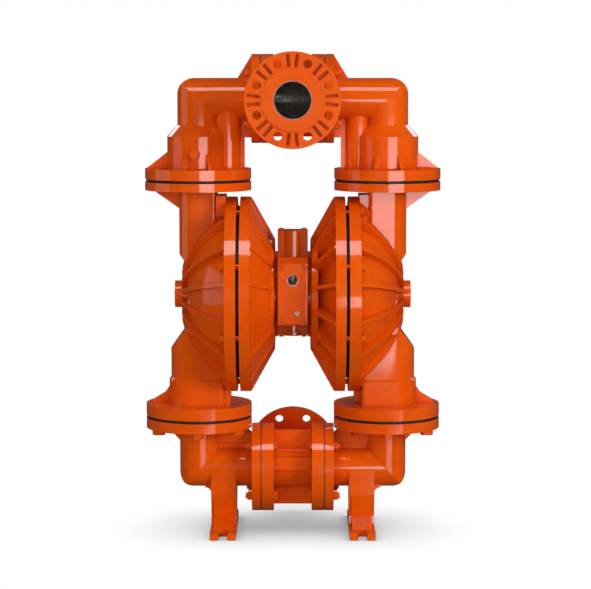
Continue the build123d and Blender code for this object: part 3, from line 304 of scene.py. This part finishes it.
casting = enamel("enamelled_casting", parting=PARTING_HEIGHT)
fastener = enamel("painted_fastener", rounding=0.0007, cast=0.5)
aluminium = enamel("enamelled_centre", rounding=0.0010, cast=0.8, shade=CENTRE_SHADE)
painted_shade_valve_enamel = enamel("enamelled_valve", rounding=0.0010, cast=0.8, shade=VALVE_SHADE)
turned = steel("turned_steel", colour(0.42, 0.40, 0.38), 0.24, 0.40, (1.0, 1.0, 8.0))
ground = steel("ground_steel", colour(0.58, 0.57, 0.55), 0.16, 0.26, (1.0, 1.0, 10.0))
bronze = steel("turned_bronze", colour(0.55, 0.34, 0.13), 0.28, 0.42)
bare_aluminium = steel("bare_aluminium", colour(0.78, 0.76, 0.73), 0.30, 0.45)
moulded = rubber("moulded_rubber", colour(0.022, 0.019, 0.018), 0.55)
ball_rubber = rubber("ball_rubber", colour(0.040, 0.036, 0.034), 0.42)
by_slot = {
    "enamelled_iron": casting,
    "enamelled_aluminium": aluminium,
    "painted_fasteners": fastener,
    "black_rubber": moulded,
    "ball_rubber": ball_rubber,
    "machined_steel": turned,
    "spool_steel": ground,
    "bronze": bronze,
}


def middle_height(name):
    low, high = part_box(name)
    return 0.5 * (low.z + high.z)


def dress(name, material):
    for holder in nodes[name].material_slots:
        holder.material = material


for node in nodes.values():
    for holder in node.material_slots:
        slot_name = holder.material.name.split(".")[0] if holder.material else "enamelled_iron"
        holder.material = by_slot.get(slot_name, casting)
for name, port_side in (("discharge_tee", -1.0), ("inlet_tee", 1.0)):
    bores = tee_bores(middle_height(name), BORE_RADIUS, port_side)
    dress(name, enamel(name + "_enamel", bare=bores, parting=PARTING_HEIGHT))
# the air valve body and its caps take the enamel with painted shade
for name in ("air_valve_body", "upper_valve_cap", "lower_valve_cap"):
    dress(name, painted_shade_valve_enamel)

# the sleeve stands a little out of the valve body below the inlet cover, and is painted there,
# with the valve's painted shade
cover_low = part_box("inlet_cover")[0]
dress("spool_sleeve", enamel("sleeve_enamel", bare=above(cover_low.z), shade=VALVE_SHADE))


# ---------------------------------------------------------------- small pieces on the casing
MERGE_DISTANCE = 1e-6
LEAST_EDGE = 1e-7
TURN_STEPS = 32


def place_piece(name, mesh, material):
    piece = bpy.data.objects.new(name, mesh)
    piece.data.materials.append(material)
    scene.collection.objects.link(piece)
    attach(piece, "pump_casing")


def weld(mesh):
    """Joins the points that lie on each other, and turns the faces outward."""
    tidy = bmesh.new()
    tidy.from_mesh(mesh)
    bmesh.ops.remove_doubles(tidy, verts=tidy.verts, dist=MERGE_DISTANCE)
    bmesh.ops.dissolve_degenerate(tidy, edges=tidy.edges, dist=LEAST_EDGE)
    bmesh.ops.recalc_face_normals(tidy, faces=tidy.faces)
    tidy.to_mesh(mesh)
    tidy.free()


def circle_around(axis):
    """Gives the unit vector at an angle around an axis."""
    across = axis.orthogonal().normalized()
    beside = axis.cross(across)
    return lambda angle: math.cos(angle) * across + math.sin(angle) * beside


def turned_mesh(name, profile, place, axis):
    """A mesh turned about an axis that starts at place; profile gives (radius, height) pairs."""
    upright = axis.normalized()
    outward = circle_around(upright)
    points = []
    for step in range(TURN_STEPS):
        out = outward(2.0 * math.pi * step / TURN_STEPS)
        points += [place + radius * out + height * upright for radius, height in profile]
    rows = len(profile)
    faces = []
    for step in range(TURN_STEPS):
        first = step * rows
        second = (step + 1) % TURN_STEPS * rows
        for row in range(rows - 1):
            faces.append((first + row, second + row, second + row + 1, first + row + 1))
    mesh = bpy.data.meshes.new(name)
    mesh.from_pydata(points, [], faces)
    weld(mesh)
    mesh.shade_smooth()
    return mesh


def add_circle(curve, centre, radius):
    """A round spline of a flat curve, in four parts."""
    reach = 4.0 / 3.0 * math.tan(math.pi / 8.0) * radius
    spline = curve.splines.new("BEZIER")
    spline.bezier_points.add(3)
    spline.use_cyclic_u = True
    for index, point in enumerate(spline.bezier_points):
        angle = index * math.pi / 2.0
        out = Vector((math.cos(angle), math.sin(angle), 0.0))
        along = Vector((-out.y, out.x, 0.0))
        point.co = Vector(centre) + radius * out
        point.handle_left = point.co - reach * along
        point.handle_right = point.co + reach * along


# dark rubber sheet put in the gap between the flanges of each valve column, standing in for the
# shade in the gap, with holes for the screws
SHEET_RADIUS = 0.1115
SHEET_HALF_THICKNESS = 0.0024
SHEET_SMOOTHNESS = 24
SEAT_CLEARANCE = 0.0006
COLUMN_BOLT_RADIUS = 0.098
COLUMN_BOLT_HOLE = 0.0095
COLUMN_BOLTS = 6
HALF_JOINT_GAP = 0.003


def shade_joint_sheet(name, place, inner_radius):
    curve = bpy.data.curves.new(name, "CURVE")
    curve.dimensions = "2D"
    curve.fill_mode = "BOTH"
    curve.extrude = SHEET_HALF_THICKNESS
    curve.resolution_u = SHEET_SMOOTHNESS
    add_circle(curve, (0.0, 0.0, 0.0), SHEET_RADIUS)
    add_circle(curve, (0.0, 0.0, 0.0), inner_radius)
    for bolt in range(COLUMN_BOLTS):
        angle = 2.0 * math.pi * bolt / COLUMN_BOLTS - math.pi / 2.0
        x = COLUMN_BOLT_RADIUS * math.cos(angle)
        y = COLUMN_BOLT_RADIUS * math.sin(angle)
        add_circle(curve, (x, y, 0.0), COLUMN_BOLT_HOLE)
    maker = bpy.data.objects.new(name + "_maker", curve)
    sheet = bpy.data.meshes.new_from_object(maker)
    bpy.data.objects.remove(maker)
    for vertex in sheet.vertices:
        vertex.co += place
    weld(sheet)
    return sheet


for column in ("discharge", "inlet"):
    for side in ("left", "right"):
        low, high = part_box(f"{column}_seat_{side}")
        middle = 0.5 * (low + high)
        place = Vector((middle.x, middle.y, high.z - HALF_JOINT_GAP))
        inner_radius = 0.5 * (high.x - low.x) + SEAT_CLEARANCE
        name = f"{column}_joint_sheet_{side}"
        place_piece(name, shade_joint_sheet(name, place, inner_radius), moulded)

# bare thread in the air inlet and the exhaust outlet, with a bare rim
THREAD_PITCH = 0.0018
THREAD_DEPTH = 0.0007
THREAD_TURNS = 8
THREAD_STEPS = 36
THREAD_START = 0.0006           # below the cover's face
THREAD_GAP = 0.0001             # between the thread's root and the hole
CREST_SHARE = 0.08              # half widths of the ridge, as shares of the pitch
ROOT_SHARE = 0.45
RIM_WIDTH = 0.0020
RIM_HEIGHT = 0.0003
RIM_INNER_DEPTH = 0.0012        # below the cover's face, at the hole and at the rim's edge
RIM_OUTER_DEPTH = 0.0004
THREAD_SECTION = (              # depth, and place along the axis as a share of the pitch
    (0.0, -ROOT_SHARE), (THREAD_DEPTH, -CREST_SHARE),
    (THREAD_DEPTH, CREST_SHARE), (0.0, ROOT_SHARE),
)


def thread_mesh(name, mouth, axis, radius):
    """A helical ridge on the wall of a hole, from its mouth inward; axis points out of it."""
    outward = circle_around(axis)
    points = []
    for step in range(THREAD_TURNS * THREAD_STEPS + 1):
        out = outward(2.0 * math.pi * step / THREAD_STEPS)
        depth = THREAD_START + THREAD_PITCH * step / THREAD_STEPS
        for inset, share in THREAD_SECTION:
            points.append(mouth + (radius - inset) * out - (depth + share * THREAD_PITCH) * axis)
    width = len(THREAD_SECTION)
    faces = []
    for step in range(THREAD_TURNS * THREAD_STEPS):
        for row in range(width - 1):
            first = width * step + row
            faces.append((first, first + 1, first + width + 1, first + width))
    mesh = bpy.data.meshes.new(name)
    mesh.from_pydata(points, [], faces)
    mesh.shade_smooth()
    return mesh


front_face = cover_low.y
rear_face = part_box("exhaust_cover")[1].y
for name, face in (("air_inlet", front_face), ("exhaust_outlet", rear_face)):
    mount = mounts[name]
    axis = Vector(mount["axis"])
    radius = mount["dims"]["r_mm"] / 1000.0 - THREAD_GAP
    mouth = Vector((mount["pos_m"][0], face, mount["pos_m"][2]))
    thread = thread_mesh(name + "_thread", mouth, axis, radius)
    place_piece(name + "_thread", thread, bare_aluminium)
    rim_profile = (
        (radius, -RIM_INNER_DEPTH), (radius, RIM_HEIGHT), (radius + RIM_WIDTH, RIM_HEIGHT),
        (radius + RIM_WIDTH, -RIM_OUTER_DEPTH), (radius, -RIM_INNER_DEPTH),
    )
    rim = turned_mesh(name + "_rim", rim_profile, mouth, axis)
    place_piece(name + "_rim", rim, bare_aluminium)

# small cast pads on the domes, in front on the right and behind on the left
PAD_PROFILE = (
    (0.0, -0.003), (0.0052, -0.003), (0.0048, 0.0008),
    (0.0036, 0.0022), (0.0018, 0.0028), (0.0, 0.0030),
)
PAD_X = 0.1967
PAD_RISE = 0.040
shaft_z = middle_height("diaphragm_shaft")
for side, chamber in ((1.0, "liquid_chamber_right"), (-1.0, "liquid_chamber_left")):
    for label, rise in (("upper", PAD_RISE), ("lower", -PAD_RISE)):
        start = Vector((side * PAD_X, -side, shaft_z + rise))
        inward = Vector((0.0, side, 0.0))
        spot, normal = nodes[chamber].ray_cast(start, inward)[1:3]
        pad = turned_mesh(chamber + "_pad", PAD_PROFILE, spot, normal)
        place_piece(f"{chamber}_{label}_pad", pad, casting)

# plug in the inlet cover, with a recess in its head
PLUG_PROFILE = (
    (0.0, -0.001), (0.0052, -0.001), (0.0052, 0.0022), (0.0044, 0.0031),
    (0.0026, 0.0033), (0.0024, 0.0012), (0.0, 0.0010),
)
PLUG_X = 0.009
PLUG_Z = 0.485
plug_place = Vector((PLUG_X, front_face, PLUG_Z))
plug = turned_mesh("cover_plug", PLUG_PROFILE, plug_place, Vector((0.0, -1.0, 0.0)))
place_piece("cover_plug", plug, bare_aluminium)

# raised crown of the discharge tee's web, behind the port's upper bolt holes
CROWN_HALF_LENGTH = 0.0405
CROWN_HALF_THICKNESS = 0.0055
CROWN_FOOT = 0.0790             # above the tee's axis
CROWN_TOP = 0.0865
CROWN_BEVEL = 0.0015


def crown_mesh(name, axis_z):
    crown = bmesh.new()
    corners = []
    levels = ((CROWN_FOOT, 0.0), (CROWN_TOP - CROWN_BEVEL, 0.0), (CROWN_TOP, CROWN_BEVEL))
    for level, shrink in levels:
        y = CROWN_HALF_THICKNESS - shrink
        for x_sign, y_sign in ((-1, -1), (1, -1), (1, 1), (-1, 1)):
            corner = (x_sign * CROWN_HALF_LENGTH, y_sign * y, axis_z + level)
            corners.append(crown.verts.new(corner))
    for ring in (0, 4):
        for index in range(4):
            here = ring + index
            after = ring + (index + 1) % 4
            crown.faces.new([corners[here], corners[after], corners[after + 4], corners[here + 4]])
    crown.faces.new(corners[8:12])
    crown.faces.new(corners[3::-1])
    mesh = bpy.data.meshes.new(name)
    crown.to_mesh(mesh)
    crown.free()
    return mesh


web_crown = crown_mesh("tee_web_crown", middle_height("discharge_tee"))
place_piece("tee_web_crown", web_crown, casting)


# ---------------------------------------------------------------- floor
FLOOR_SIZE = 30.0
FLOOR_CELLS = 6
FLOOR_SHIFT = 6.0               # to the rear, away from the camera
FLOOR_DROP = 0.0005             # below the feet
CONTACT_SHADOW_REACH = 0.30
WHITE = colour(1.0, 1.0, 1.0)
FLOOR_GREY = colour(0.30, 0.30, 0.30)


def floor_mesh():
    row_length = FLOOR_CELLS + 1
    points = []
    for row in range(row_length):
        for column in range(row_length):
            x = FLOOR_SIZE * (column / FLOOR_CELLS - 0.5)
            y = FLOOR_SIZE * (row / FLOOR_CELLS - 0.5)
            points.append((x, y, 0.0))
    faces = []
    for row in range(FLOOR_CELLS):
        for column in range(FLOOR_CELLS):
            first = row * row_length + column
            faces.append((first, first + 1, first + row_length + 1, first + row_length))
    mesh = bpy.data.meshes.new("floor")
    mesh.from_pydata(points, [], faces)
    return mesh


def floor_material():
    """White with a soft contact shadow to the camera, and grey to every other ray."""
    material, tree, place = new_material("pale_floor")
    settings = {"Distance": CONTACT_SHADOW_REACH}
    occlusion = tree.add("ShaderNodeAmbientOcclusion", settings, samples=16).outputs["AO"]
    brightness = tree.ramp(occlusion, 0.15, 0.90, 0.30, 1.02)
    glow = tree.add("ShaderNodeEmission", {"Color": WHITE, "Strength": brightness})
    grey = tree.add("ShaderNodeBsdfDiffuse", {"Color": FLOOR_GREY})
    seen = tree.add("ShaderNodeLightPath").outputs["Is Camera Ray"]
    both = tree.add("ShaderNodeMixShader", {0: seen, 1: grey.outputs[0], 2: glow.outputs[0]})
    tree.add("ShaderNodeOutputMaterial", {"Surface": both.outputs[0]})
    return material


floor = bpy.data.objects.new("floor", floor_mesh())
floor.location = (0.0, FLOOR_SHIFT, -FLOOR_DROP)
scene.collection.objects.link(floor)
floor.data.materials.append(floor_material())
floor.visible_glossy = False
floor.visible_shadow = False

# ---------------------------------------------------------------- world
# white to the camera, dim in reflections and a little brighter from above on matt faces
world = bpy.data.worlds.new("studio")
world.use_nodes = True
scene.world = world
tree = Tree(world.node_tree)
direction = tree.add("ShaderNodeTexCoord").outputs["Generated"]
split = tree.add("ShaderNodeSeparateXYZ", {"Vector": direction}).outputs
frontness = tree.ramp(split[1], 0.9, -0.9)
upness = tree.ramp(split[2], -0.2, 1.0)
reflected = tree.ramp(frontness, 0.0, 1.0, 0.05, 0.010)
lighting = tree.ramp(upness, 0.0, 1.0, 0.10, 0.20)
path = tree.add("ShaderNodeLightPath").outputs
brightness = tree.blend_values(path["Is Glossy Ray"], lighting, reflected)
brightness = tree.blend_values(path["Is Camera Ray"], brightness, 1.0)
background = tree.add("ShaderNodeBackground", {"Color": WHITE, "Strength": brightness})
tree.add("ShaderNodeOutputWorld", {"Surface": background.outputs[0]})

# ---------------------------------------------------------------- lamps
PART_MIDDLE = (0.0, 0.0, 0.50)


def softbox(name, place, target, size, radiance, glossy=True, diffuse=True):
    """A rectangular lamp that looks at target; radiance is its own brightness.

    A lamp that isn't glossy only lights, and one that isn't diffuse only reflects.
    """
    width, height = size
    lamp_data = bpy.data.lights.new(name, "AREA")
    lamp_data.shape = "RECTANGLE"
    lamp_data.size = width
    lamp_data.size_y = height
    lamp_data.energy = radiance * math.pi * width * height
    lamp = bpy.data.objects.new(name, lamp_data)
    lamp.location = place
    direction = Vector(target) - Vector(place)
    lamp.rotation_euler = direction.to_track_quat("-Z", "Y").to_euler()
    lamp.visible_camera = False
    lamp.visible_glossy = glossy
    lamp.visible_diffuse = diffuse
    scene.collection.objects.link(lamp)


# reflections in front: pale bands and faces on the right, and a thin band low down
softbox(
    "key_box", place=(1.82, -4.80, 0.21), target=(1.82, 0.0, 0.21), size=(3.20, 1.02),
    radiance=7.2, diffuse=False,
)
softbox(
    "low_strip", place=(1.86, -4.80, -0.78), target=(1.86, 0.0, -0.78), size=(3.00, 0.36),
    radiance=3.0, diffuse=False,
)
# bands along the tops of the pipes and on the upper part of the clamp rings
softbox(
    "top_box", place=(0.0, -1.90, 3.80), target=(0.0, 0.0, 0.85), size=(1.00, 1.20),
    radiance=7.0,
)
# faint light and reflections on the left
softbox(
    "side_box", place=(-3.60, -0.50, 0.90), target=(0.0, 0.0, 0.70), size=(2.60, 1.80),
    radiance=0.9,
)
# light from the front and the back that shows in no reflection
softbox(
    "front_fill", place=(4.00, -4.20, 2.00), target=PART_MIDDLE, size=(2.40, 2.40),
    radiance=10.5, glossy=False,
)
softbox(
    "low_fill", place=(-1.00, -4.90, 0.90), target=(0.0, 0.0, 0.45), size=(3.00, 2.00),
    radiance=4.4, glossy=False,
)
softbox(
    "back_fill", place=(0.80, 5.00, 1.60), target=PART_MIDDLE, size=(3.00, 2.20),
    radiance=6.0, glossy=False,
)
# light and reflections from behind
softbox(
    "back_box_left", place=(-2.20, 4.40, 3.00), target=PART_MIDDLE, size=(2.20, 1.60),
    radiance=5.0,
)
softbox(
    "back_box_right", place=(2.20, 4.40, 3.00), target=PART_MIDDLE, size=(2.20, 1.60),
    radiance=5.0,
)
